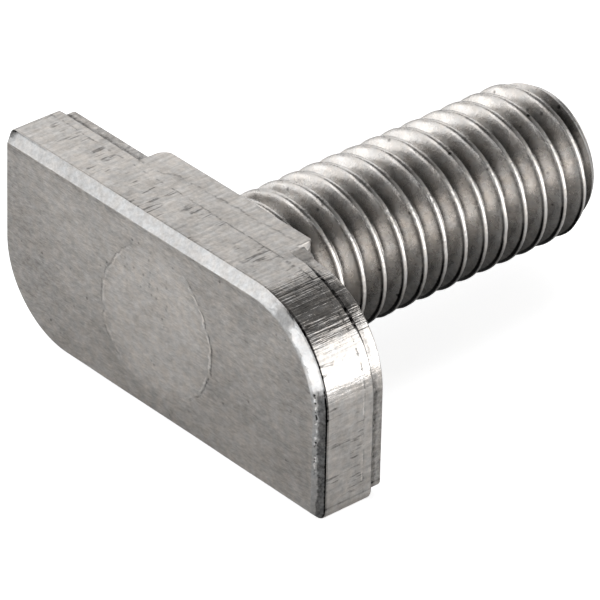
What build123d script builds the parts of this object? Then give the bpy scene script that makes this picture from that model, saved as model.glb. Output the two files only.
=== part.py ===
"""T-slot bolt: a one-piece, cold-formed hammer-head bolt with a square neck and an M8 thread.

The bolt is built standing on its head, with the thread axis along Z and the bearing plane of the head at
zero, and is then laid on the long side of its head, as it comes to rest. In its own frame the head runs
along X, the shank points along +Y and +Z is up, with the origin on the thread axis in the bearing plane.
All sizes are in millimetres and degrees.
"""
import os
from math import ceil, radians, tan

from build123d import *

# Head: the plate that goes into the slot and turns across it
HEAD_LENGTH = 22.5
HEAD_WIDTH = 10.3
PLATE_THICKNESS = 3.25
TURNING_RADIUS = 4.9
SQUARE_CORNER_RADIUS = 0.8
FRONT_BEVEL = 0.5

# Bearing step: the thin layer, set in from the plate, that presses on the lips of the slot
STEP_THICKNESS = 0.8
STEP_INSET = 0.32

# Square neck, which stops the bolt from turning; it is flush with the long sides of the head
NECK_WIDTH = 10.3
NECK_RISE = 0.7
NECK_EDGE_RADIUS = 0.7

# Shank and its rolled thread: M8 with a 1.25 mm pitch, at the middle of its tolerance
THREAD_DIAMETER = 7.9
THREAD_PITCH = 1.25
THREAD_ANGLE = 60
SHANK_LENGTH = 20.0
POINT_DIAMETER = 6.6
POINT_LENGTH = 1.2
CREST_HEIGHT = 0.08

# Run-out: the groove gets shallower towards a small flare at the neck
RUN_OUT_LENGTH = 2.5
FLARE = 0.25

# Shares of the pitch that the metric thread form fixes
CREST_SHARE = 1 / 8
DEPTH_SHARE = 0.6134

# How far a cutter passes over the surface that it cuts
CUTTER_PASS = 0.05

THREAD_RADIUS = THREAD_DIAMETER / 2
GROOVE_DEPTH = DEPTH_SHARE * THREAD_PITCH
ROOT_RADIUS = THREAD_RADIUS - GROOVE_DEPTH


def head_outline():
    """Rectangle with two opposite corners turned round, so that the head can swing in its slot."""
    blank = Rectangle(HEAD_LENGTH, HEAD_WIDTH)
    turned_corners = [corner for corner in blank.vertices() if corner.X * corner.Y < 0]
    turned = fillet(turned_corners, TURNING_RADIUS)
    square_corners = turned.vertices().sort_by(lambda corner: Vector(corner).length)[-2:]
    return fillet(square_corners, SQUARE_CORNER_RADIUS)


def head_plate(outline):
    """Main plate of the head, under the bearing step, with the bevel round its front face."""
    top_plane = Plane.XY.offset(-STEP_THICKNESS)
    plate = extrude(top_plane * outline, amount=-PLATE_THICKNESS)
    front_face = plate.faces().sort_by(Axis.Z)[0]
    return chamfer(front_face.edges(), FRONT_BEVEL)


def bearing_step(outline):
    """Thin layer on the back of the plate, set in all round."""
    return extrude(offset(outline, -STEP_INSET), amount=-STEP_THICKNESS)


def square_neck():
    """Low block across the head, with its two short edges rounded."""
    height = STEP_THICKNESS + NECK_RISE
    block = Pos(0, 0, -STEP_THICKNESS) * Box(
        NECK_WIDTH, HEAD_WIDTH, height, align=(Align.CENTER, Align.CENTER, Align.MIN)
    )
    short_edges = block.faces().sort_by(Axis.Z)[-1].edges().filter_by(Axis.Y)
    return fillet(short_edges, NECK_EDGE_RADIUS)


def plain_shank():
    """Blank of the shank, from the bearing plane to its point, before the thread is rolled."""
    half_section = Polyline(
        (0, 0),
        (THREAD_RADIUS, 0),
        (THREAD_RADIUS, SHANK_LENGTH - POINT_LENGTH),
        (POINT_DIAMETER / 2, SHANK_LENGTH),
        (0, SHANK_LENGTH),
        close=True,
    )
    return revolve(Plane.XZ * make_face(half_section), Axis.Z)


def groove_section():
    """Section of the thread groove in the plane of the axis: two flanks and a narrow flat root."""
    slope = tan(radians(THREAD_ANGLE / 2))
    half_mouth = THREAD_PITCH * (1 - CREST_SHARE) / 2
    half_root = half_mouth - GROOVE_DEPTH * slope
    outer_radius = THREAD_RADIUS + CUTTER_PASS
    half_top = half_mouth + CUTTER_PASS * slope
    corners = Polyline(
        (outer_radius, half_top),
        (ROOT_RADIUS, half_root),
        (ROOT_RADIUS, -half_root),
        (outer_radius, -half_top),
        close=True,
    )
    return make_face(corners)


def thread_groove():
    """Right-hand helical groove, one turn after another, from inside the neck to past the point."""
    first_centre = CREST_HEIGHT - 1.5 * THREAD_PITCH
    turn_count = ceil((SHANK_LENGTH - first_centre) / THREAD_PITCH) + 1
    turns = [
        Helix(THREAD_PITCH, THREAD_PITCH, THREAD_RADIUS, center=(0, 0, first_centre + turn * THREAD_PITCH))
        for turn in range(turn_count)
    ]
    path = Wire([turn.edge() for turn in turns])
    start = Plane(origin=(0, 0, first_centre), x_dir=(1, 0, 0), z_dir=(0, -1, 0))
    return sweep(start * groove_section(), path=path, is_frenet=True)


def run_out():
    """Cone that fills the groove little by little towards the neck and ends in a flare on it."""
    half_section = Polyline(
        (0, 0),
        (THREAD_RADIUS + FLARE, 0),
        (THREAD_RADIUS + FLARE, NECK_RISE),
        (ROOT_RADIUS - CUTTER_PASS, NECK_RISE + RUN_OUT_LENGTH),
        (0, NECK_RISE + RUN_OUT_LENGTH),
        close=True,
    )
    return revolve(Plane.XZ * make_face(half_section), Axis.Z)


def t_slot_bolt():
    """The whole bolt as one solid, laid on the long side of its head."""
    outline = head_outline()
    head = head_plate(outline) + bearing_step(outline) + square_neck()
    shank = plain_shank() - thread_groove() + run_out()
    return Rot(X=-90) * (head + shank)


bolt = t_slot_bolt()
os.makedirs("parts", exist_ok=True)
export_step(bolt, "parts/t_slot_bolt.step")
print("t_slot_bolt: volume", round(bolt.volume, 2), "mm3, valid", bolt.is_valid)
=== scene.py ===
"""Looks of a stainless steel T-slot bolt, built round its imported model.

The visual bolt is one closed mesh. The head and its square neck are one stack of rings, the threaded shank
is cut from a longer thread, and union joins the two. The surface then gets the unevenness of cold forming.
All of that is done in millimetres, and the bolt is brought to metres at the end. Every mark and mask in the
finishes is worked out from its place on the bolt, so nothing depends on where the camera stands.
"""

import logging
import math
from dataclasses import dataclass
from enum import Enum
from typing import Mapping, Optional, Sequence, Union

import bmesh
import bpy
import numpy as np
from mathutils import Matrix, Vector, noise


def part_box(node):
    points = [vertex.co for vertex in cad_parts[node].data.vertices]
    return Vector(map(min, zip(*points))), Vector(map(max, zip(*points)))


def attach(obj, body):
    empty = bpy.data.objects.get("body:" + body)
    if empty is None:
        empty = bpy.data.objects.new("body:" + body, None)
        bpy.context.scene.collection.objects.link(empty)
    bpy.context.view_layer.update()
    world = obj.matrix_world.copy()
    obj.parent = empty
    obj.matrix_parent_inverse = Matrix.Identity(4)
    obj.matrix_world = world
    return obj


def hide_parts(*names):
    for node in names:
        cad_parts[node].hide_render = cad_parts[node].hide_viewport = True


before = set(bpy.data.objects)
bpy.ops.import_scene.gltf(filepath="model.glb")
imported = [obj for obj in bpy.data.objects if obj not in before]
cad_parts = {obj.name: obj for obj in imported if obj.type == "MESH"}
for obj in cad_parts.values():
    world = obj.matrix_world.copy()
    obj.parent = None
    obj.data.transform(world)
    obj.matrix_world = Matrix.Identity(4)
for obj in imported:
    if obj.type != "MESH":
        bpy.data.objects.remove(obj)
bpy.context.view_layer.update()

MM = 0.001
NODE = "t_slot_bolt"
BODY = "root"

# Places and sizes, in millimetres, that both the shapes and the finishes follow
PLATE_BACK = -0.8
NECK_LEFT, NECK_RIGHT = -4.95, 5.35
LAP, LAP_SLOPE = -0.28, 0.05
IMPRINT_RADIUS = 3.8
PITCH = 1.25
CREST_HEIGHT = 0.08

# Where the upper side of the thread starts and stops, as angles round its axis, and over what angle it fades
UPPER_START, UPPER_STOP, UPPER_FADE = 0.85, 2.9, 0.4

# Points of a mesh that are closer than this, in its own units, become one
WELD = 1e-5

QUARTER = math.pi / 2

log = logging.getLogger("t_slot_bolt")

Points = np.ndarray
Piece = bpy.types.Object
Socket = bpy.types.NodeSocket
Operand = Union["Value", float]
Settings = Mapping[str, object]
Sockets = Mapping[Union[str, int], object]
Factors = tuple[float, float, float]


# ---------------------------------------------------------------------------------------------------------
# Shader maths


class Value:
    """A number that varies over a surface: the output socket of a node, with arithmetic on it."""

    def __init__(self, graph: "Graph", socket: Socket) -> None:
        """Wraps an output socket of a graph."""
        self.graph = graph
        self.socket = socket

    def _math(self, operation: str, *operands: Operand) -> "Value":
        """Adds a Math node with an operation and its inputs, in order."""
        return self.graph.value("ShaderNodeMath", {"operation": operation}, dict(enumerate(operands)))

    def __add__(self, other: Operand) -> "Value":
        """Sum."""
        return self._math("ADD", self, other)

    def __sub__(self, other: Operand) -> "Value":
        """Difference."""
        return self._math("SUBTRACT", self, other)

    def __rsub__(self, other: Operand) -> "Value":
        """Difference with the number first."""
        return self._math("SUBTRACT", other, self)

    def __mul__(self, other: Operand) -> "Value":
        """Product."""
        return self._math("MULTIPLY", self, other)

    def __truediv__(self, other: Operand) -> "Value":
        """Quotient."""
        return self._math("DIVIDE", self, other)

    __radd__ = __add__
    __rmul__ = __mul__

    def abs(self) -> "Value":
        """Size without its sign."""
        return self._math("ABSOLUTE", self)

    def sign(self) -> "Value":
        """1, 0 or -1."""
        return self._math("SIGN", self)

    def distance(self, other: "Value") -> "Value":
        """Distance of the point that has this value and the other as its coordinates."""
        return self._math("SQRT", self * self + other * other)

    def angle_to(self, other: "Value") -> "Value":
        """Angle of the point whose second coordinate is this value and whose first is the other."""
        return self._math("ARCTAN2", self, other)

    def fraction(self) -> "Value":
        """What is left past the last whole number."""
        return self._math("FRACT", self)

    def highest(self, other: Operand) -> "Value":
        """The larger of two values."""
        return self._math("MAXIMUM", self, other)

    def ramp(self, start: Operand, stop: Operand) -> "Value":
        """Smooth step.

        Args:
            start: Where the result is 0.
            stop: Where it is 1; it may be below start.

        Returns:
            A value between 0 and 1.
        """
        settings = {"interpolation_type": "SMOOTHSTEP"}
        sockets = {"Value": self, "From Min": start, "From Max": stop}
        return self.graph.value("ShaderNodeMapRange", settings, sockets)

    def peak(self, centre: Operand, width: Operand) -> "Value":
        """Soft line that is 1 at its centre and 0 beyond a width on either side."""
        return (self - centre).abs().ramp(width, 0.0)


class Graph:
    """The node tree of one material or world while it is being made."""

    def __init__(self, owner: Union[bpy.types.Material, bpy.types.World]) -> None:
        """Empties the owner's node tree and takes it over."""
        owner.use_nodes = True
        self.tree = owner.node_tree
        self.tree.nodes.clear()

    def add(self, kind: str, settings: Settings, sockets: Sockets) -> bpy.types.Node:
        """Adds a node of any type.

        Args:
            kind: The node's type.
            settings: Its properties, set first.
            sockets: Values, or links, for its input sockets.

        Returns:
            The new node.
        """
        node = self.tree.nodes.new(kind)
        for key, setting in settings.items():
            setattr(node, key, setting)
        for key, given in sockets.items():
            socket = node.inputs[key]
            if isinstance(given, Value):
                given = given.socket
            if isinstance(given, Socket):
                self.tree.links.new(given, socket)
            else:
                socket.default_value = given
        return node

    def value(self, kind: str, settings: Settings, sockets: Sockets) -> Value:
        """Adds a node, as add does, and wraps its first output."""
        return Value(self, self.add(kind, settings, sockets).outputs[0])

    def blend(self, amount: Operand, first: object, second: object) -> Socket:
        """Mixes two colours.

        Args:
            amount: Share of the second colour.
            first: A colour, or a socket that gives one.
            second: The same.

        Returns:
            The mixed colour's socket.
        """
        settings = {"data_type": "RGBA", "clamp_factor": True}
        return self.add("ShaderNodeMix", settings, {0: amount, 6: first, 7: second}).outputs[2]

    def stretched(self, place: Socket, factors: Factors) -> Socket:
        """Multiplies a position by one factor for each axis."""
        return self.add("ShaderNodeVectorMath", {"operation": "MULTIPLY"}, {0: place, 1: factors}).outputs[0]


@dataclass(frozen=True)
class Place:
    """Where a shaded point lies on the bolt, in millimetres, and the noises and measures taken there."""

    graph: Graph
    vector: Socket
    x: Value
    y: Value
    z: Value

    @staticmethod
    def of(graph: Graph) -> "Place":
        """Reads the point's place from the object's own coordinates.

        Args:
            graph: The node tree that needs the place.

        Returns:
            The place, whole and axis by axis.
        """
        source = graph.add("ShaderNodeTexCoord", {}, {}).outputs["Object"]
        vector = graph.stretched(source, (1 / MM,) * 3)
        split = graph.add("ShaderNodeSeparateXYZ", {}, {0: vector})
        return Place(graph, vector, *(Value(graph, output) for output in split.outputs))

    def cloud(
        self, scale: float, detail: float = 2.0, rough: float = 0.5, squeeze: Optional[Factors] = None
    ) -> Value:
        """Noise between 0 and 1, centred on a half.

        Args:
            scale: Lumps to a millimetre.
            detail: Layers of finer noise.
            rough: Strength of the finer layers.
            squeeze: How much closer together the lumps are along each axis.

        Returns:
            The noise.
        """
        vector = self.graph.stretched(self.vector, squeeze) if squeeze else self.vector
        sockets = {"Vector": vector, "Scale": scale, "Detail": detail, "Roughness": rough}
        return self.graph.value("ShaderNodeTexNoise", {"noise_dimensions": "3D"}, sockets)

    def swing(self, *noise_sizes: float, squeeze: Optional[Factors] = None) -> Value:
        """Noise as cloud makes it, centred on zero."""
        return self.cloud(*noise_sizes, squeeze=squeeze) - 0.5

    def cells(self, scale: float) -> Value:
        """Distance to the nearest of many scattered points, in cells."""
        sockets = {"Vector": self.vector, "Scale": scale, "Randomness": 1.0}
        return self.graph.value("ShaderNodeTexVoronoi", {"feature": "F1", "distance": "EUCLIDEAN"}, sockets)

    def along(self) -> Value:
        """Distance along the side that the point is on, towards the turning corner of that side."""
        return self.x * self.z.sign()

    def level(self) -> Value:
        """Distance across the end that the point is on, towards the turning corner of that end."""
        return self.z * self.x.sign()

    def angle(self) -> Value:
        """Angle round the thread's axis, from the +X side towards the top."""
        return self.z.angle_to(self.x)

    def from_axis(self) -> Value:
        """Distance from the thread's axis."""
        return self.x.distance(self.z)


# ---------------------------------------------------------------------------------------------------------
# Finishes


def grey(level: float, warmth: float = 0.0) -> tuple[float, float, float, float]:
    """Linear steel grey; a positive warmth leans it towards brown and a negative one towards blue."""
    return (level * (1 + warmth), level, level * (1 - warmth), 1.0)


@dataclass(frozen=True)
class Finish:
    """A finish of the steel: how the surface left its last operation."""

    name: str
    level: float
    warmth: float
    rough: float
    headroom: float = 1.6
    wander: float = 0.018

    def light(self, place: Place) -> Value:
        """Lightness of the finish, where 1 is its own level."""
        raise NotImplementedError

    def gloss(self, place: Place) -> Value:
        """Roughness of the finish."""
        raise NotImplementedError

    def relief(self, place: Place) -> Value:
        """Height of the fine relief, in millimetres."""
        raise NotImplementedError

    def tone(self, place: Place) -> Socket:
        """Base colour of the finish.

        Args:
            place: The shaded point.

        Returns:
            The finish's grey at its lightness, wandering a little between warm and cool.
        """
        patches = place.cloud(2.4, 3.0).ramp(0.3, 0.7)
        full = self.level * self.headroom
        cool, warm = grey(full, self.warmth - self.wander), grey(full, self.warmth + self.wander)
        own = place.graph.blend(patches, cool, warm)
        return place.graph.blend(self.light(place) * (1 / self.headroom), grey(0.0), own)

    def material(self) -> bpy.types.Material:
        """Builds the Blender material.

        Returns:
            A metallic material with the finish's colour, roughness and relief.
        """
        material = bpy.data.materials.new(self.name)
        graph = Graph(material)
        place = Place.of(graph)
        height = self.relief(place)
        bump = graph.add("ShaderNodeBump", {}, {"Strength": 1.0, "Distance": MM, "Height": height})
        sockets = {
            "Base Color": self.tone(place),
            "Metallic": 1.0,
            "Roughness": self.gloss(place),
            "Normal": bump.outputs[0],
        }
        shader = graph.add("ShaderNodeBsdfPrincipled", {}, sockets)
        graph.add("ShaderNodeOutputMaterial", {}, {"Surface": shader.outputs[0]})
        return material


@dataclass(frozen=True)
class PressedFace(Finish):
    """Front of the head: satin from the die, with the round imprint of the wire's end."""

    imprint_wander: float = 0.9
    imprint_tone: float = 0.23
    pit_tone: float = 0.42
    pit_x: float = -0.7
    pit_z: float = 2.1
    top_edge: float = 4.6

    def imprint_edge(self, place: Place) -> Value:
        """Distance outwards from the wandering edge of the imprint."""
        wander = place.swing(0.45, 2.0) * self.imprint_wander
        return place.from_axis() - IMPRINT_RADIUS + wander + place.swing(2.6, 3.0) * 0.4

    def clearness(self, place: Place) -> Value:
        """How clear the edge of the imprint is: clearest towards one end of the head, broken elsewhere."""
        broken = place.cloud(1.7, 4.0, 0.65).ramp(0.40, 0.56)
        return broken * (0.12 + place.x.abs().ramp(1.2, 3.0) * 0.45 + place.x.ramp(1.0, 2.8) * 0.43)

    def pits(self, place: Place) -> Value:
        """Small pits, in loose groups and in one thick cluster.

        Args:
            place: The shaded point.

        Returns:
            1 in a pit and 0 elsewhere.
        """
        cluster = (place.x - self.pit_x).distance(place.z - self.pit_z).ramp(2.3, 0.8)
        groups = place.cloud(0.9, 1.0).ramp(0.62, 0.70).highest(cluster)
        return place.cells(2.8).ramp(0.30, 0.12) * groups

    def light(self, place: Place) -> Value:
        """Grain along the head, cloudy patches, a pale imprint, dark pits, painted shade below the bevel and
        at the ends, and painted light low towards +X.

        Args:
            place: The shaded point.

        Returns:
            Lightness, where 1 is the finish's own level.
        """
        grain = place.swing(3.4, 4.0, 0.75, squeeze=(0.9, 1.0, 4.5)) * 1.1
        mottle = place.swing(2.6, 4.0, 0.7, squeeze=(0.8, 1.0, 1.5)) * 0.95
        broad = place.swing(0.35, 3.0, 0.6, squeeze=(0.6, 1.0, 1.3)) * 0.5
        edge = self.imprint_edge(place)
        inside = edge.ramp(0.5, -1.0) * self.imprint_tone
        line = (edge.peak(0.03, 0.08) * 0.55 - edge.peak(-0.11, 0.08) * 0.50) * self.clearness(place)
        # Painted shade along the top edge of the face, below the bevel
        shade = place.z.ramp(self.top_edge - 0.5, self.top_edge) * 0.18
        # Painted shade towards both ends of the face
        ends = place.x.abs().ramp(4.5, 11.0) * 0.13
        # Painted light low down towards the +X end
        low = place.z.ramp(-1.5, -5.0) * place.x.ramp(1.0, 8.0) * 0.14
        satin = 0.965 + grain + mottle + broad
        return satin + inside - line - self.pits(place) * self.pit_tone - shade - ends + low

    def gloss(self, place: Place) -> Value:
        """Satin, a little uneven."""
        return self.rough + place.swing(3.0, 3.0) * 0.16

    def relief(self, place: Place) -> Value:
        """Fine grain, and the raised and cut edge of the imprint.

        Args:
            place: The shaded point.

        Returns:
            Height in millimetres.
        """
        grain = place.cloud(7.0, 3.0, 0.65, (1.0, 1.0, 2.6))
        edge = self.imprint_edge(place)
        line = edge.peak(0.0, 0.12) - edge.peak(-0.18, 0.14) * 0.6
        return grain * 0.016 - line * self.clearness(place) * 0.02


@dataclass(frozen=True)
class PressedBevel(Finish):
    """Bevel round the front of the head: smoother and cooler than the face, torn round its ends, with painted
    highlight and shade there.
    """

    middle: float = -3.93
    outer_edge: float = -3.55
    white_highlight_tone: float = 0.55
    dull_shade_tone: float = 0.22
    burr_tone: float = 0.7

    def light(self, place: Place) -> Value:
        """Pale with speckles, lighter towards +X, with painted shade then a painted white highlight round a
        sheared turning corner, and painted shade down its end.

        Args:
            place: The shaded point.

        Returns:
            Lightness, where 1 is the finish's own level.
        """
        ragged = place.swing(2.2, 4.0, 0.7)
        along, level = place.x.abs(), place.level()
        depth = place.y + ragged * 0.30
        reach = along + ragged * 0.8
        end = along.ramp(10.2, 10.7) * (level + ragged * 1.2).ramp(1.9, 1.3)
        turning = level.ramp(-0.2, 0.4) * (1.0 - end)
        torn = reach.ramp(8.7, 9.1) * turning
        # Painted shade where the bevel starts to turn round the corner
        dull = reach.ramp(7.9, 8.3) * turning * (1.0 - torn) * self.dull_shade_tone
        # Painted white highlight on the sheared part of the turning corner
        white = torn * depth.ramp(self.middle - 0.03, self.middle + 0.02)
        flecks = (place.y - self.middle + ragged * 0.2).peak(0.0, 0.06) * end * level.ramp(-3.2, -1.6)
        chips = place.cloud(3.6).ramp(0.50, 0.54) - place.cloud(3.1).ramp(0.56, 0.60)
        burr = (place.y - self.outer_edge).ramp(-0.10, -0.04) * along.ramp(8.0, 8.8)
        pale = 0.92 + place.swing(5.0, 4.0, 0.75) + place.swing(0.9) * 0.35 + place.x.ramp(-9.0, 8.0) * 0.14
        # Painted highlight less painted shade round the turning corner
        sheared = white * self.white_highlight_tone - (torn - white) * 0.1 - dull
        # Painted shade down the end of the bevel
        dark = end * (0.28 + depth.ramp(self.middle + 0.05, self.middle + 0.11) * 0.48)
        worn = self.burr_tone - level.ramp(0.6, -0.8) * 0.35
        return pale + sheared - dark + flecks * chips * 0.9 - burr * worn

    def gloss(self, place: Place) -> Value:
        """Satin with brighter patches."""
        return self.rough + place.swing(2.4, 3.0) * 0.2

    def relief(self, place: Place) -> Value:
        """Fine grain and shallow waves."""
        return place.cloud(7.0, 3.0, 0.6) * 0.012 + place.cloud(1.6) * 0.03


@dataclass(frozen=True)
class DrawnSide(Finish):
    """Sides of the head and neck: marks from front to back, strongest where the corners were sheared."""

    corner_start: float = 6.3
    parting: float = -1.38
    bevel_edge: float = -3.55
    crevice_shade_tone: float = 0.72
    wedge_highlight_tone: float = 0.45
    same_through: Factors = (1.0, 0.0, 1.0)

    def streaks(self, place: Place, scale: float, pull: float = 0.1) -> Value:
        """Lines that run from front to back."""
        return place.cloud(scale, 3.0, 0.6, (1.0, pull, 1.0))

    def parting_line(self, place: Place) -> Value:
        """Fine broken line where the two halves of the die met."""
        where = place.y - self.parting + place.swing(0.5, 4.0, 0.6, squeeze=self.same_through) * 0.26
        return where.peak(0.0, 0.07) * place.cloud(2.6, 4.0, 0.7).ramp(0.44, 0.58)

    def lap_line(self, place: Place) -> Value:
        """Ragged line where the metal of the neck laps over the head.

        Args:
            place: The shaded point.

        Returns:
            1 on the line and 0 off it.
        """
        along = place.along()
        ragged = place.swing(1.4, 4.0, 0.65, squeeze=self.same_through) * 0.5
        where = place.y - (LAP + along * LAP_SLOPE) + ragged + along.ramp(-2.6, -3.7) * 0.42
        on_neck = place.z.abs().ramp(4.95, 5.05) * (1.0 - self.off_neck(place))
        return where.peak(0.0, 0.11) * on_neck * place.cloud(3.0, 4.0, 0.7).ramp(0.42, 0.60)

    def off_neck(self, place: Place) -> Value:
        """1 beside the neck and 0 on it."""
        beside = place.x.ramp(NECK_RIGHT - 0.02, NECK_RIGHT + 0.02)
        return beside.highest(place.x.ramp(NECK_LEFT + 0.02, NECK_LEFT - 0.02))

    def set_in(self, place: Place) -> Value:
        """1 inside the plate's long sides, as on the step, and 0 on them."""
        return place.z.abs().ramp(4.95, 4.88)

    def past_plate(self, place: Place) -> Value:
        """1 behind the plate and 0 on it."""
        return place.y.ramp(PLATE_BACK, PLATE_BACK + 0.05)

    def past_blend(self, place: Place) -> Value:
        """0 where the step runs into the end of the neck, next to a turning corner, and 1 elsewhere."""
        along = place.along()
        blend = along.ramp(NECK_RIGHT + 1.1, NECK_RIGHT + 0.4) * along.ramp(0.0, 0.1)
        return 1.0 - blend * place.z.abs().ramp(4.0, 4.4)

    def corner_zone(self, place: Place) -> Value:
        """1 on the curves of the two turning corners, 0 elsewhere."""
        return place.along().ramp(self.corner_start, self.corner_start + 1.3) * place.z.abs().ramp(0.2, 1.6)

    def torn(self, place: Place) -> Value:
        """1 on the upper half of the turning corners' curves, where the shearing was roughest."""
        return self.corner_zone(place) * place.level().ramp(2.6, 3.8)

    def neck_end_highlight(self, place: Place) -> Value:
        """Painted highlight along the rounded edge at the end of the neck, with a painted dark outline.

        Args:
            place: The shaded point.

        Returns:
            What the highlight adds to the lightness.
        """
        on_end = place.y.ramp(-0.30, -0.15) * place.y.ramp(0.66, 0.50) * place.z.ramp(4.7, 4.8)
        away = (place.x - NECK_RIGHT + 0.04 + place.swing(3.0) * 0.16).abs()
        # Painted highlight on the end edge of the neck, with a painted dark outline beside it
        return (away.ramp(0.09, 0.06) * 0.7 - away.peak(0.14, 0.07) * 0.5) * on_end

    def crevice_shade_and_burr(self, place: Place) -> Value:
        """Painted shade on the rounded back edge of the plate and in the crevice behind it, and the burr
        between bevel and side round the turning corners.

        Args:
            place: The shaded point.

        Returns:
            1 on the lines and 0 off them.
        """
        torn = self.torn(place)
        ragged = place.swing(2.4, 3.0) * 0.14
        rounding = place.y + ragged - PLATE_BACK
        wide = torn * -0.16
        # Painted shade on the rounded back edge of the plate
        behind = rounding.ramp(wide - 0.13, wide - 0.07) * rounding.ramp(0.06, 0.0)
        # Painted shade in the crevice on the step behind the plate
        crevice = rounding.ramp(0.02, 0.06) * rounding.ramp(0.48, 0.30) * 0.42
        off_neck = self.off_neck(place).highest(self.set_in(place)) * self.past_blend(place)
        ends = place.x.abs().ramp(7.6, 9.4) * place.z.abs().ramp(5.1, 5.0)
        thick = torn * 0.05
        worn = place.level().ramp(0.6, -0.8) * 0.55
        burr = (place.y + ragged * 0.4 - self.bevel_edge).ramp(thick + 0.07, thick + 0.02)
        return (behind.highest(crevice) * off_neck).highest(burr * ends * (1.0 - worn))

    def end_marks_and_highlight(self, place: Place) -> Value:
        """Marks on the two ends of the head: bright dashes along the parting line, and a painted highlight
        with a painted dark line on the rounded lower edge.

        Args:
            place: The shaded point.

        Returns:
            What the marks add to the lightness.
        """
        level = place.level()
        dashes = (place.y - self.parting + 0.09).peak(0.0, 0.06) * place.cloud(2.0, 3.0).ramp(0.52, 0.58)
        # Painted highlight on the rounded lower edge, with a painted dark line above it
        lower = level.ramp(-4.45, -4.6) * 0.16 - level.peak(-4.42, 0.08) * 0.3
        return (dashes * 0.4 + lower) * place.x.abs().ramp(10.6, 10.9) * level.ramp(2.4, 1.6)

    def step_shade_and_highlight(self, place: Place) -> Value:
        """Painted shade on the bearing step, a faint painted highlight where it turns round a corner, and a
        painted highlight in the wedge where it runs into the neck.

        Args:
            place: The shaded point.

        Returns:
            What the step takes from the lightness.
        """
        past = self.past_blend(place)
        plain = self.past_plate(place) * self.set_in(place) * past
        wedge = self.past_plate(place) * place.y.ramp(0.0, -0.08) * self.off_neck(place) * (1.0 - past)
        # Painted shade on the step, lighter on its turning corners, and a painted highlight in the wedge by
        # the neck
        return plain * (0.24 - self.corner_zone(place) * 0.30) - wedge * self.wedge_highlight_tone

    def light(self, place: Place) -> Value:
        """Light grey with hatching, soft patches and the dark lines of parting, lap and burr, with painted
        shade on the step and behind the plate, and painted highlights on the corners, the ends and the neck.

        Args:
            place: The shaded point.

        Returns:
            Lightness, where 1 is the finish's own level.
        """
        hatch = self.streaks(place, 5.0, 0.12)
        front = place.y.ramp(self.parting + 0.05, self.parting - 0.1)
        marks = hatch.ramp(0.52, 0.64) * place.cloud(0.7).ramp(0.46, 0.58) * front
        patches = place.cloud(0.9, 3.0, 0.6, (0.7, 1.1, 0.7)).ramp(0.42, 0.70)
        step = self.past_plate(place) * self.set_in(place)
        mottle = place.swing(4.5, 4.0, 0.75) * (0.8 + step * 0.8)
        scored = self.streaks(place, 5.0, 0.03).ramp(0.44, 0.6) * self.torn(place)
        top = place.z.abs().ramp(4.4, 5.0) * place.along().ramp(-6.0, 5.0)
        drawn = 1.0 + mottle + (hatch - 0.5) * 0.85 - patches * 0.14 - marks * 0.65 - top * 0.14
        lines = self.parting_line(place) * 0.26 + self.lap_line(place) * 0.30
        # Painted shade behind the plate, together with the dark burr lines
        edges = self.crevice_shade_and_burr(place) * self.crevice_shade_tone
        # The step's painted shade and highlight, the scoring and the dark lines
        light = drawn - self.step_shade_and_highlight(place) - scored * 0.25 - lines - edges
        # Adds the end marks with their painted highlight, and the painted highlight along the end of the neck
        return light + self.end_marks_and_highlight(place) + self.neck_end_highlight(place)

    def gloss(self, place: Place) -> Value:
        """Satin, burnished on the turning corners."""
        return self.rough + (self.streaks(place, 3.0) - 0.5) * 0.18 - self.corner_zone(place) * 0.16

    def relief(self, place: Place) -> Value:
        """Streaks, faint on the flats and deep on the turning corners, with the parting and lap cut in.

        Args:
            place: The shaded point.

        Returns:
            Height in millimetres.
        """
        fine = self.streaks(place, 7.0) * 0.010 + place.cloud(6.0, 3.0) * 0.008
        deep = self.streaks(place, 5.0, 0.04) * (self.torn(place) * 0.055 + self.corner_zone(place) * 0.006)
        return fine + deep - self.parting_line(place) * 0.012 - self.lap_line(place) * 0.009


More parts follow.
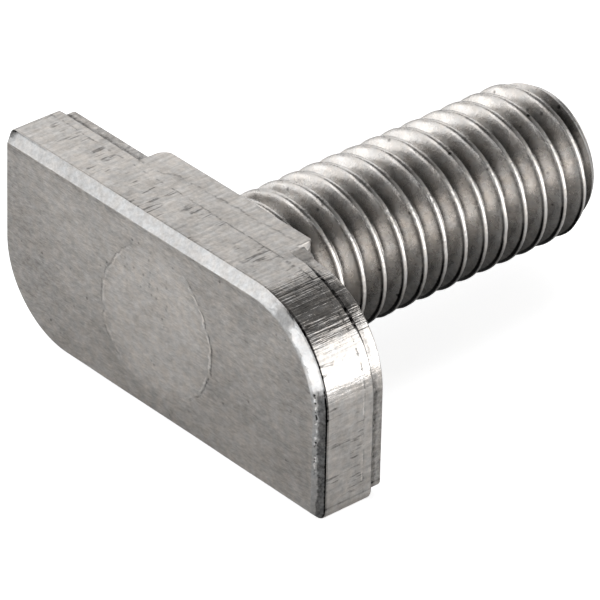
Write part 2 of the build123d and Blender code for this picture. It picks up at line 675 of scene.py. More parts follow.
@dataclass(frozen=True)
class RolledThread(Finish):
    """Thread and its run-out: smooth and warm, with pits in the grooves, burnished, broken crests, painted
    highlights on the crests and painted shade in the grooves and on the underside.
    """

    start: float = 1.6
    rim: float = 20.0
    crest_burnish_and_highlight_tone: float = 0.62
    pit_tone: float = 0.6
    plain_flank: float = 0.25

    def cut_end(self, place: Place) -> Value:
        """1 on the face of the point, where the wire was cut, and 0 elsewhere."""
        return place.y.ramp(self.rim - 0.3, self.rim - 0.15) * place.from_axis().ramp(3.3, 3.1)

    def across(self, place: Place) -> Value:
        """Distance from the middle of the nearest crest; the cut end counts as a plain flank.

        Args:
            place: The shaded point.

        Returns:
            The distance as a share of the pitch, from 0 to a half.
        """
        steps = (place.y - CREST_HEIGHT) / PITCH + place.angle() / (2 * math.pi) + 64.5
        nearest = (steps.fraction() - 0.5).abs()
        return nearest + (self.plain_flank - nearest) * self.cut_end(place)

    def upper(self, place: Place) -> Value:
        """1 on the upper side, where the crests carry little burnish or painted highlight, and 0 elsewhere.
        """
        angle = place.angle()
        before_stop = angle.ramp(UPPER_STOP, UPPER_STOP - UPPER_FADE)
        return angle.ramp(UPPER_START, UPPER_START + UPPER_FADE) * before_stop

    def crest(self, place: Place) -> Value:
        """Burnished crests with a painted highlight, in specks on the upper side, narrower and fading towards
        the underside, and fading on the run-out.

        Args:
            place: The shaded point.

        Returns:
            1 on a bright crest and 0 elsewhere.
        """
        specks = place.cloud(4.0, 3.0).ramp(0.42, 0.60)
        # The crests' painted highlight narrows towards the underside
        narrow = self.across(place) + place.z.ramp(0.8, -3.2) * 0.035
        bright = narrow.ramp(0.085, 0.06) * place.y.ramp(self.start, self.start + 0.5)
        bright = bright * (1.0 - self.upper(place) * (1.0 - specks * 0.25))
        # Painted highlight fading towards the underside
        return bright * (1.0 - place.z.ramp(1.6, -2.4) * 0.7)

    def painted_light_round_axis(self, place: Place, across: Value) -> Value:
        """Painted light and shade by angle round the axis: pale crests and dark grooves on the near side,
        which change about on the top, and a painted dark patch beside the crests.

        Args:
            place: The shaded point.
            across: Its distance from the nearest crest.

        Returns:
            What they add to the lightness.
        """
        angle = place.angle()
        near, top = angle.ramp(0.55, 0.95), angle.ramp(2.0, 1.6)
        # Painted light on the crests and painted shade in the grooves, by angle round the axis
        lit = near * angle.ramp(1.15, 1.0) * 0.30 + angle.ramp(1.25, 1.45) * top * 0.22
        shaded_band = near * angle.ramp(1.45, 1.25) * 0.35 - angle.ramp(1.22, 1.4) * top * 0.20
        # Painted dark patch beside the crests on the near side
        notch_shade = angle.ramp(0.72, 0.88) * angle.ramp(1.42, 1.20) * across.ramp(0.17, 0.06) * 0.46
        return across.ramp(0.30, 0.10) * lit - across.ramp(0.26, 0.42) * shaded_band - notch_shade

    def light(self, place: Place) -> Value:
        """Warm grey with painted shade beside the crests, in the grooves and on the underside, dark pits,
        pale crests, a painted highlight on the rim and painted shade on the point.

        Args:
            place: The shaded point.

        Returns:
            Lightness, where 1 is the finish's own level.
        """
        across, crest = self.across(place), self.crest(place)
        # Painted shade in the roots of the grooves and beside each crest, stronger towards the underside
        lower = place.z.ramp(1.6, -0.4)
        groove = across.ramp(0.34, 0.5) * (0.2 + lower * 0.36)
        beside = across.peak(0.112, 0.05) * (0.46 + lower * 0.30 - self.upper(place) * 0.41)
        pits = place.cells(1.7).ramp(0.22, 0.10) * place.cloud(0.5, 1.0).ramp(0.54, 0.62) * self.pit_tone
        # Painted shade on the underside, less on the crests
        under = place.z.ramp(1.0, -3.0) * (0.72 - crest * 0.44)
        # Painted light and shade round the axis, less the painted shade on the underside, left off the cut
        # end
        turned = (self.painted_light_round_axis(place, across) - under) * (1.0 - self.cut_end(place))
        # Painted highlight on the rim of the point
        rim = place.y.ramp(self.rim - 0.16, self.rim - 0.06) * 0.5
        # Painted shade on the chamfer and the end of the point
        chamfer = place.y.ramp(self.rim - 1.15, self.rim - 1.0) * 0.30
        warm = 0.97 + place.swing(1.1, 4.0, 0.6) * 0.45 + place.swing(4.0, 3.0, 0.7) * 0.35
        # Crests lightened both as burnish and as painted highlight
        return warm + crest * self.crest_burnish_and_highlight_tone - groove - beside - pits + turned + rim - chamfer

    def gloss(self, place: Place) -> Value:
        """Smooth flanks, burnished crests and a duller end, where the wire was cut."""
        uneven = place.swing(2.0, 3.0) * 0.16
        return self.rough + uneven + self.crest(place) * 0.10 + self.cut_end(place) * 0.22

    def relief(self, place: Place) -> Value:
        """Fine ripple, rougher along the crests."""
        crest = self.across(place).ramp(0.14, 0.08) * (1.0 - self.upper(place) * 0.5)
        return place.cloud(4.5, 4.0, 0.6) * 0.012 + place.swing(6.0, 3.0) * crest * 0.03


# ---------------------------------------------------------------------------------------------------------
# Shaping in millimetres


@dataclass(frozen=True)
class Corner:
    """A corner of a profile, with the radius that rounds it and the spacing of points on the run after it."""

    across: float
    along: float
    radius: float = 0.0
    spacing: float = 0.14


def profile(corners: Sequence[Corner], arc_steps: int = 4) -> Points:
    """Points along a profile whose corners are rounded.

    Args:
        corners: The corners, in order.
        arc_steps: Steps on each rounded corner.

    Returns:
        One row of two coordinates for each point.
    """
    places = [np.array((corner.across, corner.along)) for corner in corners]
    points = [places[0]]
    for index, corner in enumerate(corners[1:], 1):
        here = places[index]
        arc = [here]
        if corner.radius:
            arc = fillet_arc(places[index - 1], here, places[index + 1], corner.radius, arc_steps)
        start = points[-1]
        steps = max(1, round(float(np.linalg.norm(arc[0] - start)) / corners[index - 1].spacing))
        points += [start + (arc[0] - start) * step / steps for step in range(1, steps)]
        points += arc
    return np.array(points)


def fillet_arc(before: Points, here: Points, after: Points, radius: float, steps: int) -> list[Points]:
    """Points of the arc that rounds a corner.

    Args:
        before: The place that the profile comes from.
        here: The corner itself.
        after: The place that it goes to.
        radius: Radius of the arc.
        steps: Steps on the arc.

    Returns:
        The arc's points, both ends included.
    """
    inward, outward = before - here, after - here
    inward, outward = inward / np.linalg.norm(inward), outward / np.linalg.norm(outward)
    half = math.acos(float(np.clip(inward @ outward, -1, 1))) / 2
    centre = here + (inward + outward) / np.linalg.norm(inward + outward) * radius / math.sin(half)
    reach = radius / math.tan(half)
    first, last = here + inward * reach - centre, here + outward * reach - centre
    spokes = [first * (1 - share) + last * share for share in np.linspace(0, 1, steps + 1)]
    return [centre + spoke / np.linalg.norm(spoke) * radius for spoke in spokes]


@dataclass(frozen=True)
class Outline:
    """Closed outline of the head: for each point its place, its normal, how fully it follows the inset of the
    bearing step, which is nothing on the neck, and its place at the foot of the neck."""

    points: Points
    normals: Points
    inset_shares: Points
    foot: Points

    def ring(self, inset: float, depth: float, neck_flush: bool = False) -> Points:
        """The outline moved inwards, at a depth.

        Args:
            inset: How far it moves.
            depth: Where the ring lies along the thread axis.
            neck_flush: Whether each point moves by its own share, so that those on the neck stay.

        Returns:
            The ring's points in space.
        """
        shares = self.inset_shares[:, None] if neck_flush else 1.0
        return lay(self.points - self.normals * inset * shares, depth)


def lay(flat: Points, depth: Points | float) -> Points:
    """Places points of the head's plane in space at a depth along the thread axis."""
    return np.column_stack((flat[:, 0], np.broadcast_to(depth, len(flat)), flat[:, 1]))


def share_of(part: float, whole: float) -> float:
    """A part of a whole, held between 0 and 1."""
    return min(1.0, max(0.0, part / whole))


def between(first: Points, last: Points, steps: int) -> list[Points]:
    """Rings from one ring to another, without the first."""
    return [first + (last - first) * step / steps for step in range(1, steps + 1)]


def straight(start: Sequence[float], stop: Sequence[float], spacing: float) -> Points:
    """Evenly spaced points of a straight run.

    Args:
        start: Where it starts.
        stop: Where it ends.
        spacing: About how far apart the points are.

    Returns:
        The points, both ends included.
    """
    start, stop = np.array(start), np.array(stop)
    steps = max(1, round(float(np.linalg.norm(stop - start)) / spacing))
    return start + (stop - start) * (np.arange(steps + 1) / steps)[:, None]


def surface(name: str, points: Points, faces: Sequence[Sequence[int]]) -> Piece:
    """Makes a mesh object, welds what falls together and turns the faces outwards.

    Args:
        name: Name of the object.
        points: One row of three coordinates for each point.
        faces: Indices of each face's points.

    Returns:
        The object.
    """
    mesh = bpy.data.meshes.new(name)
    mesh.from_pydata(points.tolist(), [], [tuple(int(i) for i in face) for face in faces])
    shape = bmesh.new()
    shape.from_mesh(mesh)
    bmesh.ops.remove_doubles(shape, verts=shape.verts, dist=WELD)
    bmesh.ops.recalc_face_normals(shape, faces=shape.faces)
    shape.to_mesh(mesh)
    shape.free()
    piece = bpy.data.objects.new(name, mesh)
    bpy.context.scene.collection.objects.link(piece)
    return piece


def stack(name: str, rings: Sequence[Points]) -> Piece:
    """Joins rings that have the same number of points into one closed surface.

    Args:
        name: Name of the object.
        rings: The rings; the first and the last are each closed with one face.

    Returns:
        The object.
    """
    count = len(rings[0])
    here = np.arange(count)
    ahead = np.roll(here, -1)
    rows = [
        np.column_stack((here + low, ahead + low, ahead + low + count, here + low + count))
        for low in range(0, count * (len(rings) - 1), count)
    ]
    faces = [tuple(face) for face in np.concatenate(rows)]
    faces += [tuple(here), tuple(here + count * (len(rings) - 1))]
    return surface(name, np.concatenate(rings), faces)


def combine(first: Piece, second: Piece, operation: str) -> Piece:
    """Joins or intersects two closed surfaces.

    Args:
        first: The surface that is kept and changed.
        second: The other surface, which is deleted.
        operation: UNION or INTERSECT.

    Returns:
        The first object, with its new mesh.
    """
    change = first.modifiers.new("combine", "BOOLEAN")
    change.operation = operation
    change.solver = "MANIFOLD"
    change.object = second
    evaluated = first.evaluated_get(bpy.context.evaluated_depsgraph_get())
    mesh = bpy.data.meshes.new_from_object(evaluated)
    first.modifiers.clear()
    first.data = mesh
    bpy.data.objects.remove(second)
    log.info("%s of %s: %d faces", operation.lower(), first.name, len(mesh.polygons))
    return first


def ripple(place: Sequence[float], scale: float, seed: float) -> float:
    """Smooth noise between about -1 and 1 at a place in millimetres, with so many lumps to a millimetre."""
    return noise.noise(Vector(place) * scale + Vector((seed, -seed, seed * 0.5)))


# ---------------------------------------------------------------------------------------------------------
# Sub-assemblies


@dataclass
class Head:
    """Head of the bolt with its turning corners, front bevel, bearing step and square neck."""

    half_length: float
    half_width: float
    front: float
    bevel: float = 0.5
    edge_depth: float = 0.2
    step_inset: float = 0.32
    step_edge: float = 0.2
    turning_radius: float = 4.9
    turning_spacing: float = 0.062
    square_radius: float = 0.6
    square_spacing: float = 0.12
    spacing: float = 0.15
    face_rings: int = 28
    face_reach: float = 0.985
    neck_rise: float = 0.7
    neck_draw: float = 0.05
    sharp_end: float = 0.5
    blend: float = 0.9
    lap_depth: float = 0.012
    shear_depth: float = 0.015
    imprint_depth: float = 0.008
    lean: float = 0.1
    lean_start: float = 10.2

    def curve(self, sign_x: int, sign_z: int) -> tuple[Points, Points]:
        """One corner of the outline, anticlockwise.

        Args:
            sign_x: 1 for a corner on the +X end, -1 for one on the other.
            sign_z: 1 for an upper corner, -1 for a lower one.

        Returns:
            Its points and their normals.
        """
        radius, spacing = self.square_radius, self.square_spacing
        if sign_x == sign_z:
            radius, spacing = self.turning_radius, self.turning_spacing
        centre = np.array(((self.half_length - radius) * sign_x, (self.half_width - radius) * sign_z))
        start = ((1, 1), (-1, 1), (-1, -1), (1, -1)).index((sign_x, sign_z)) * QUARTER
        angles = start + QUARTER * np.linspace(0, 1, round(radius * QUARTER / spacing) + 1)
        normals = np.column_stack((np.cos(angles), np.sin(angles)))
        return centre + normals * radius, normals

    def outline(self) -> Outline:
        """Outline of the plate, anticlockwise from the right end of the neck's top.

        Returns:
            The outline; its points off the neck also know where they meet the foot of the neck.
        """
        parts: list[tuple[Points, Points, Points, Points]] = []
        for side, start, stop in ((1, NECK_RIGHT, NECK_LEFT), (-1, NECK_LEFT, NECK_RIGHT)):
            level = self.half_width * side
            first, first_normals = self.curve(-side, side)
            second, second_normals = self.curve(-side, -side)
            flush = straight((start, level), (stop, level), self.spacing)
            runs = [
                straight((stop, level), first[0], self.spacing),
                first[1:],
                straight(first[-1], second[0], self.spacing)[1:],
                second[1:],
                straight(second[-1], (stop, -level), self.spacing)[1:],
            ]
            turns = [
                np.tile((0.0, side), (len(runs[0]), 1)),
                first_normals[1:],
                np.tile((-side, 0.0), (len(runs[2]), 1)),
                second_normals[1:],
                np.tile((0.0, -side), (len(runs[4]), 1)),
            ]
            end = np.concatenate(runs)
            walked = np.concatenate(((0.0,), np.cumsum(np.linalg.norm(np.diff(end, axis=0), axis=1))))
            beside = level - side * (self.step_inset + self.step_edge)
            foot = np.column_stack((np.full(len(end), stop), beside * (1 - 2 * walked / walked[-1])))
            inset_shares = np.clip((walked[-1] - walked) / self.blend, 0, 1)
            parts.append((flush, np.tile((0.0, side), (len(flush), 1)), np.zeros(len(flush)), flush))
            parts.append((end, np.concatenate(turns), inset_shares, foot))
        return Outline(*(np.concatenate(column) for column in zip(*parts)))

    def neck_ring(self, outline: Outline, turn: float) -> Points:
        """Ring of the neck, whose short edges are rounded over its whole rise.

        Args:
            outline: The head's outline.
            turn: Angle round the rounded edge, 0 at the foot and a right angle on the back.

        Returns:
            The ring.
        """
        middle, half = (NECK_LEFT + NECK_RIGHT) / 2, (NECK_RIGHT - NECK_LEFT) / 2
        lower = 1 - self.neck_draw / self.half_width * max(0.0, math.sin(turn) - 0.93) / 0.07
        foot = outline.foot
        out = (foot[:, 0] - middle) / half
        rounding = np.where(out < 0, self.neck_rise, self.neck_rise * self.sharp_end) * (1 - math.cos(turn))
        flat = np.column_stack((foot[:, 0] - out * rounding, foot[:, 1] * lower))
        return lay(flat, self.neck_rise * math.sin(turn))

    def build(self) -> Piece:
        """Builds the closed surface of the head and neck.

        Returns:
            The head, in millimetres.
        """
        outline = self.outline()
        plate = profile(
            (
                Corner(self.square_radius - 0.02, self.front, 0, 0.1),
                Corner(self.bevel, self.front, 0.12, 0.12),
                Corner(0.0, self.front + self.bevel, 0.1, 0.2),
                Corner(0.0, PLATE_BACK - self.edge_depth),
            )
        )
        step = profile(
            (
                Corner(0.0, PLATE_BACK - self.edge_depth, 0, 0.1),
                Corner(0.0, PLATE_BACK, 0.14, 0.1),
                Corner(self.step_inset, PLATE_BACK, 0.05, 0.12),
                Corner(self.step_inset, 0.0, 0.1, 0.2),
                Corner(self.step_inset + self.step_edge, 0.0),
            )
        )
        edge = outline.ring(plate[0][0], self.front)
        count = len(outline.points)
        reach = self.half_length - self.half_width
        middle = lay(np.column_stack((outline.points[:, 0].clip(-reach, reach), np.zeros(count))), self.front)
        face = between(edge, edge + (middle - edge) * self.face_reach, self.face_rings)
        sides = [outline.ring(inset, depth) for inset, depth in plate]
        sides += [outline.ring(inset, depth, neck_flush=True) for inset, depth in step[1:]]
        back = between(sides[-1], lay(outline.foot, 0.0), 3)
        neck = [self.neck_ring(outline, turn) for turn in np.linspace(0, QUARTER, 12)[1:]]
        centre = lay(np.zeros((count, 2)), self.neck_rise)
        cap = between(neck[-1], neck[-1] + (centre - neck[-1]) * 0.7, 3)
        head = stack("head", face[::-1] + sides + back + neck + cap)
        self.mark(head)
        log.info("head: %d faces", len(head.data.polygons))
        return head

    def shear(self, vertex: bpy.types.MeshVertex) -> None:
        """Scores the curve of a turning corner from front to back, deepest on its upper half.

        Args:
            vertex: A point of the head.
        """
        x, y, z = vertex.co
        side = math.copysign(1, z)
        corner_x = self.half_length - self.turning_radius
        if not self.front + 0.3 < y < 0 or x * side <= corner_x or abs(z) <= 0.1:
            return
        centre = Vector((corner_x * side, 0, (self.half_width - self.turning_radius) * side))
        outward = Vector((x, 0, z)) - centre
        turned = math.atan2(outward.x * side, outward.z * side)
        strength = share_of(turned, 0.3) * (0.12 + 0.88 * share_of(0.95 - turned, 0.35))
        strength *= share_of(1.5 - turned, 0.3)
        score = ripple((x, y * 0.05, z), 2.6, 7.0) + 0.7 * ripple((x, y * 0.05, z), 6.0, 3.0)
        vertex.co -= outward.normalized() * self.shear_depth * strength * (0.9 - 0.8 * score)

    def mark(self, head: Piece) -> None:
        """Adds the shear marks of the turning corners, the lap on the neck, the imprint and the leaning end.

        Args:
            head: The head, whose points are moved.
        """
        for vertex in head.data.vertices:
            x, y, z = vertex.co
            side = math.copysign(1, z)
            self.shear(vertex)
            if y > PLATE_BACK and abs(z) > self.half_width - 0.06:
                line = LAP + LAP_SLOPE * (x * side) + 0.1 * ripple((x, 0, side), 1.4, 11.0)
                vertex.co.z -= side * self.lap_depth / (1 + math.exp((line - y) / 0.05))
            if y < self.front + 0.01:
                past = IMPRINT_RADIUS + 0.25 * ripple((x, 0, z), 0.45, 6.0) - math.hypot(x, z)
                vertex.co.y += self.imprint_depth / (1 + math.exp(-past / 0.08))
            if x < -self.lean_start:
                vertex.co.x += self.lean * (1 + z / self.half_width) * share_of(-x - self.lean_start, 1.0)


@dataclass
class Shank:
    """Threaded shank with its chamfered point and the run-out next to the neck."""

    point: float
    crest_radius: float = 3.95
    crest_share: float = 0.16
    crest_rounding: float = 0.11
    soft_rounding: float = 0.24
    flank: float = math.radians(60)
    depth: float = 0.77
    start: float = -1.2
    point_radius: float = 3.3
    point_length: float = 1.2
    columns: int = 96
    run_out: float = 3.2
    flare_radius: float = 4.2
    flare_height: float = 0.75

    def groove(self) -> Points:
        """Profile of the thread over one pitch, from crest to crest.

        Returns:
            One row of height and radius for each point.
        """
        half_crest = self.crest_share * PITCH / 2
        sharp = (PITCH / 2 - half_crest) * math.tan(self.flank)
        corners = (
            Corner(0.0, self.crest_radius, 0, 0.2),
            Corner(half_crest, self.crest_radius, self.crest_rounding, 0.2),
            Corner(PITCH / 2, self.crest_radius - sharp, sharp - self.depth, 0.2),
            Corner(PITCH - half_crest, self.crest_radius, self.crest_rounding, 0.2),
            Corner(PITCH, self.crest_radius),
        )
        return profile(corners, 3)[:-1]

    def soft(self, heights: Points, radii: Points) -> Points:
        """The thread's profile with rounder crests, as on its upper side.

        Args:
            heights: Heights along the profile.
            radii: Radii of the profile there.

        Returns:
            The rounder radii.
        """
        radius = self.soft_rounding
        top = self.crest_radius + self.crest_share * PITCH / 2 * math.tan(self.flank) - radius
        away = np.abs(heights - np.round(heights / PITCH) * PITCH)
        rounded = top - radius + np.sqrt(np.maximum(radius**2 - away**2, 0))
        return np.where(away < radius * math.sin(self.flank), rounded, radii)

    def upper(self, angles: Points) -> Points:
        """1 on the upper side of the shank and 0 elsewhere, with a smooth change between them."""
        after_start = np.clip((angles - UPPER_START) / UPPER_FADE, 0, 1)
        shares = after_start * np.clip((UPPER_STOP - angles) / UPPER_FADE, 0, 1)
        return shares * shares * (3 - 2 * shares)

    def thread(self) -> Piece:
        """Builds the thread as one long surface, whose rows of points follow the helix.

        Returns:
            A closed surface, longer than the shank at both ends.
        """
        turn = self.groove()
        samples = len(turn)
        first = math.floor((self.start - CREST_HEIGHT) / PITCH)
        pitches = math.ceil((self.point - self.start) / PITCH) + 3
        heights = np.concatenate([turn[:, 0] + (first + k) * PITCH for k in range(pitches)]) + CREST_HEIGHT
        sharp = np.tile(turn[:, 1], pitches)
        rows = len(heights)
        angles = 2 * math.pi * np.arange(self.columns) / self.columns
        radii = sharp + self.upper(angles)[:, None] * (self.soft(heights - CREST_HEIGHT, sharp) - sharp)
        grid = np.empty((self.columns, rows, 3))
        grid[:, :, 0] = np.cos(angles)[:, None] * radii
        grid[:, :, 1] = heights - (PITCH * angles / (2 * math.pi))[:, None]
        grid[:, :, 2] = np.sin(angles)[:, None] * radii
        points = grid.reshape(-1, 3)
        low, high = len(points), len(points) + 1
        ends = np.array(((0, heights[0] - PITCH, 0), (0, heights[-1], 0)))
        faces: list[tuple[int, ...]] = []
        last = self.columns - 1
        for column in range(self.columns):
            wrap = samples if column == last else 0
            ahead = 0 if column == last else column + 1
            for row in range(wrap, rows - 1):
                base, side = column * rows + row, ahead * rows + row - wrap
                faces.append((base, base + 1, side + 1, side))
            if column != last:
                faces.append((column * rows, ahead * rows, low))
                faces.append((ahead * rows - 1, (ahead + 1) * rows - 1, high))
        foot = [last * rows + row for row in range(samples + 1)] + [0]
        head = [(last + 1) * rows - 1] + [rows - 1 - samples + row for row in range(samples + 1)]
        faces += [(a, b, low) for a, b in zip(foot, foot[1:])]
        faces += [(a, b, high) for a, b in zip(head, head[1:])]
        return surface("thread", np.concatenate((points, ends)), faces)

    def turned(self, name: str, corners: Sequence[Corner], count: int = 144) -> Piece:
        """Turns a profile of radius and height, which starts and ends on the axis, about the shank's axis.

        Args:
            name: Name of the object.
            corners: Corners of the profile.
            count: Points round the axis.

        Returns:
            The closed surface.
        """
        angles = 2 * math.pi * np.arange(count) / count
        rings = [
            np.column_stack((np.cos(angles) * radius, np.full(count, height), np.sin(angles) * radius))
            for radius, height in profile(corners)
        ]
        return stack(name, rings)

    def build(self) -> Piece:
        """Builds the shank: the thread cut to its chamfered point, with the run-out.

        Returns:
            The shank, in millimetres.
        """
        outside = self.crest_radius + 0.4
        slope = self.point_length / (self.crest_radius - self.point_radius)
        blank = self.turned(
            "blank",
            (
                Corner(0.0, self.start),
                Corner(outside, self.start, 0.05, 4.0),
                Corner(outside, self.point - slope * (outside - self.point_radius), 0.05, 0.2),
                Corner(self.point_radius, self.point, 0.12, 0.3),
                Corner(self.point_radius * 0.72, self.point - 0.04, 0.5, 0.3),
                Corner(self.point_radius * 0.5, self.point - 0.04),
            ),
        )
        shank = combine(self.thread(), blank, "INTERSECT")
        run_out = self.turned(
            "run_out",
            (
                Corner(0.0, self.start + 0.2),
                Corner(self.flare_radius, self.start + 0.2, 0.05, 0.6),
                Corner(self.flare_radius, self.flare_height, 0.4, 0.2),
                Corner(self.crest_radius - self.depth + 0.25, self.flare_height + 0.85, 0.8, 0.2),
                Corner(self.crest_radius - self.depth - 0.1, self.run_out, 0.05, 0.4),
                Corner(0.0, self.run_out),
            ),
        )
        return combine(shank, run_out, "UNION")


class Region(Enum):
    """The parts of the bolt's surface that have a finish of their own, in the order of its material slots."""

    FACE = 0
    BEVEL = 1
    SIDE = 2
    THREAD = 3


@dataclass
class Bolt:
    """The whole bolt: head, neck and shank in one surface, worn and dressed."""

    head: Head
    shank: Shank
    finishes: tuple[Finish, ...]
    wave_depth: float = 0.012
    dent_depth: float = 0.05
    thread_wear: float = 0.003
    shade_angle: float = 38

    def build(self) -> Piece:
        """Builds the bolt, brings it to metres and gives it to the frame.

        Returns:
            The finished piece.
        """
        bolt = combine(self.head.build(), self.shank.build(), "UNION")
        bolt.name = "bolt"
        self.wear(bolt.data)
        self.dress(bolt.data)
        bolt.data.transform(Matrix.Scale(MM, 4))
        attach(bolt, BODY)
        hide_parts(NODE)
        log.info("%s: %d faces", bolt.name, len(bolt.data.polygons))
        return bolt

    def wear(self, mesh: bpy.types.Mesh) -> None:
        """Moves each point inwards a little: broad waves on the head, small dents on the thread's crests.

        Args:
            mesh: The bolt's mesh, in millimetres.
        """
        crests = self.shank.crest_radius - 0.12
        normals = [vertex.normal.copy() for vertex in mesh.vertices]
        for vertex, normal in zip(mesh.vertices, normals):
            place = vertex.co.copy()
            depth = self.wave_depth * (1 + ripple(place, 0.35, 1.0))
            if place.y > self.head.neck_rise:
                depth = self.thread_wear
                if math.hypot(place.x, place.z) > crests:
                    depth += max(0.0, ripple(place, 1.3, 4.0) - 0.15) * self.dent_depth
            vertex.co = place - normal * depth

    def region(self, centre: Vector, normal: Vector) -> Region:
        """The region that a face belongs to.

        Args:
            centre: Centre of the face, in millimetres.
            normal: Its outward normal.

        Returns:
            The region.
        """
        neck_back, bevel_edge = self.head.neck_rise, self.head.front + self.head.bevel
        on_neck = normal.y > 0.9 and centre.y < neck_back + 0.02
        near_axis = math.hypot(centre.x, centre.z) < self.shank.crest_radius + 0.5
        if centre.y > neck_back - 0.15 and near_axis and not on_neck:
            return Region.THREAD
        if centre.y < bevel_edge and abs(normal.y) > 0.93:
            return Region.FACE
        if centre.y < bevel_edge - 0.03 and normal.y < -0.3:
            return Region.BEVEL
        return Region.SIDE

    def dress(self, mesh: bpy.types.Mesh) -> None:
        """Gives each face its finish and smooths the shading between faces that nearly line up.

        Args:
            mesh: The bolt's mesh, in millimetres.
        """
        mesh.materials.clear()
        for finish in self.finishes:
            mesh.materials.append(finish.material())
        for face in mesh.polygons:
            face.material_index = self.region(face.center, face.normal).value
        mesh.shade_smooth()
        mesh.set_sharp_from_angle(angle=math.radians(self.shade_angle))


# ---------------------------------------------------------------------------------------------------------
# Studio


def direction(azimuth: float, elevation: float) -> Vector:
    """Unit vector to a place round the bolt; azimuth 0 is in front of the head and 90 on the +X side."""
    a, e = math.radians(azimuth), math.radians(elevation)
    return Vector((math.sin(a) * math.cos(e), -math.cos(a) * math.cos(e), math.sin(e)))


@dataclass(frozen=True)
class SoftBox:
    """A soft lamp: where it stands, how large it is and how bright its face is, where 1 is white."""

    name: str
    azimuth: float
    elevation: float
    width: float
    height: float
    radiance: float
    distance: float = 0.4
    mirrored: bool = True

    def build(self, aim: Vector) -> Piece:
        """Makes the lamp and turns it towards the bolt.

        Args:
            aim: What it points at.

        Returns:
            The lamp.
        """
        lamp = bpy.data.lights.new(self.name, "AREA")
        lamp.shape = "RECTANGLE"
        lamp.size, lamp.size_y = self.width, self.height
        lamp.energy = self.radiance * math.pi * self.width * self.height
        piece = bpy.data.objects.new(self.name, lamp)
        towards = direction(self.azimuth, self.elevation)
        piece.location = aim + towards * self.distance
        piece.rotation_euler = towards.to_track_quat("Z", "Y").to_euler()
        piece.visible_camera = False
        piece.visible_glossy = self.mirrored
        bpy.context.scene.collection.objects.link(piece)
        return piece


@dataclass(frozen=True)
class Viewpoint:
    """Camera: angles round the bolt, the point it looks at, its distance and its lens."""

    azimuth: float = 48.32
    elevation: float = 32.08
    roll: float = 1.27
    distance: float = 0.2833
    lens: float = 374.3
    sensor: float = 36.0
    nearest: float = 0.001
    farthest: float = 20.0
    aim: tuple[float, float, float] = (0.00238, 0.00252, -0.00017)

    def build(self) -> Piece:
        """Makes the scene's camera.

        Returns:
            The camera.
        """
        data = bpy.data.cameras.new("camera")
        data.lens, data.sensor_width = self.lens, self.sensor
        data.clip_start, data.clip_end = self.nearest, self.farthest
        camera = bpy.data.objects.new("camera", data)
        back = direction(self.azimuth, self.elevation)
        camera.location = Vector(self.aim) + back * self.distance
        turn = back.to_track_quat("Z", "Y") @ Matrix.Rotation(math.radians(self.roll), 3, "Z").to_quaternion()
        camera.rotation_euler = turn.to_euler()
        bpy.context.scene.collection.objects.link(camera)
        bpy.context.scene.camera = camera
        return camera


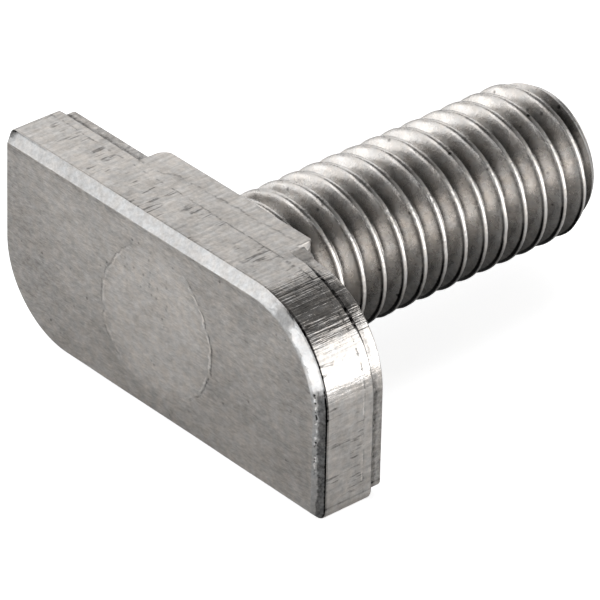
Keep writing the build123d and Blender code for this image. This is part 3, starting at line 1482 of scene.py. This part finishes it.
@dataclass(frozen=True)
class Studio:
    """Pale floor, soft lamps and the room's faint light."""

    lamps: tuple[SoftBox, ...]
    floor_size: float = 3.0
    floor_albedo: float = 0.8
    floor_lift: float = 0.8
    near: float = 22.0
    far: float = 75.0
    glossy_near: float = 0.1
    glossy_far: float = 0.75
    room: float = 0.08

    def seen(self, graph: Graph, mirrored: Operand) -> Value:
        """How much of the white background a ray sees.

        Args:
            graph: The node tree that needs it.
            mirrored: The share that reflections see.

        Returns:
            1 for the camera and through clear things, and that share for reflections.
        """
        path = graph.add("ShaderNodeLightPath", {}, {})
        camera, glossy, through = (
            Value(graph, path.outputs[f"Is {ray} Ray"]) for ray in ("Camera", "Glossy", "Transmission")
        )
        return camera.highest(through).highest(glossy * mirrored)

    def floor(self, level: float) -> Piece:
        """Makes the floor, which reflections see as dull near the bolt and white farther off.

        Args:
            level: Its height.

        Returns:
            The floor.
        """
        half = self.floor_size / 2
        corners = np.array([(x * half, y * half, level) for x, y in ((-1, -1), (1, -1), (1, 1), (-1, 1))])
        floor = surface("floor", corners, ((0, 1, 2, 3),))
        material = bpy.data.materials.new("floor_white")
        graph = Graph(material)
        place = Place.of(graph)
        speckle = place.cloud(0.02)
        away = place.x.distance(place.y).ramp(self.near, self.far)
        mirrored = self.glossy_near + away * (self.glossy_far - self.glossy_near)
        sockets = {
            "Base Color": graph.blend(speckle, grey(self.floor_albedo), grey(self.floor_albedo * 0.98)),
            "Roughness": 0.9,
            "Emission Color": graph.blend(self.seen(graph, mirrored) * self.floor_lift, grey(0.0), grey(1.0)),
            "Emission Strength": 1.0,
        }
        shader = graph.add("ShaderNodeBsdfPrincipled", {}, sockets)
        graph.add("ShaderNodeOutputMaterial", {}, {"Surface": shader.outputs[0]})
        floor.data.materials.append(material)
        return floor

    def world(self) -> None:
        """Makes the room: white to the camera, faint to everything else."""
        world = bpy.data.worlds.new("room")
        bpy.context.scene.world = world
        graph = Graph(world)
        tint = graph.blend(self.seen(graph, self.glossy_near), grey(self.room), grey(1.0))
        shader = graph.add("ShaderNodeBackground", {}, {"Color": tint, "Strength": 1.0})
        graph.add("ShaderNodeOutputWorld", {}, {"Surface": shader.outputs[0]})

    def build(self, level: float, aim: Vector) -> None:
        """Sets up the whole studio round the bolt.

        Args:
            level: Height of the floor.
            aim: What the lamps point at.
        """
        self.floor(level)
        self.world()
        for lamp in self.lamps:
            lamp.build(aim)
        bpy.context.scene.view_settings.view_transform = "Standard"


FINISHES: tuple[Finish, ...] = (
    PressedFace("pressed_face", level=0.51, warmth=0.05, rough=0.42),
    PressedBevel("pressed_bevel", level=0.57, warmth=0.01, rough=0.34),
    DrawnSide("drawn_side", level=0.55, warmth=0.05, rough=0.36),
    RolledThread("rolled_thread", level=0.54, warmth=0.045, rough=0.27),
)

LAMPS = (
    SoftBox("left_front_box", azimuth=-52, elevation=30, width=0.30, height=0.36, radiance=1.02),
    SoftBox("left_low_box", azimuth=-60, elevation=8, width=0.36, height=0.11, radiance=1.35),
    SoftBox("front_top_box", azimuth=-16, elevation=44, width=0.20, height=0.14, radiance=1.2),
    SoftBox("front_fill", azimuth=-8, elevation=8, width=0.16, height=0.12, radiance=0.2),
    SoftBox("left_side_box", azimuth=-92, elevation=20, width=0.16, height=0.22, radiance=0.95),
    SoftBox("left_back_box", azimuth=-132, elevation=32, width=0.36, height=0.28, radiance=0.96),
    SoftBox("right_back_box", azimuth=127, elevation=16, width=0.26, height=0.26, radiance=2.1),
    SoftBox(
        "right_back_low", azimuth=127, elevation=1, width=0.05, height=0.011, radiance=2.2, distance=0.07
    ),
    SoftBox("right_front_high", azimuth=18, elevation=30, width=0.13, height=0.13, radiance=2.0),
    SoftBox("right_front_low", azimuth=36, elevation=9, width=0.13, height=0.13, radiance=2.2),
    SoftBox("back_key", azimuth=-145, elevation=62, width=0.2, height=0.2, radiance=3.6, mirrored=False),
)


def main() -> None:
    """Builds the bolt and its studio."""
    logging.basicConfig(level=logging.INFO, format="%(name)s: %(message)s")
    low, high = (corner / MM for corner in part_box(NODE))
    head = Head(half_length=high.x, half_width=high.z, front=low.y)
    bolt = Bolt(head, Shank(point=high.y), FINISHES)
    bolt.build()
    Viewpoint().build()
    Studio(LAMPS).build(level=low.z * MM, aim=Vector(Viewpoint.aim))


if __name__ == "__main__":
    main()
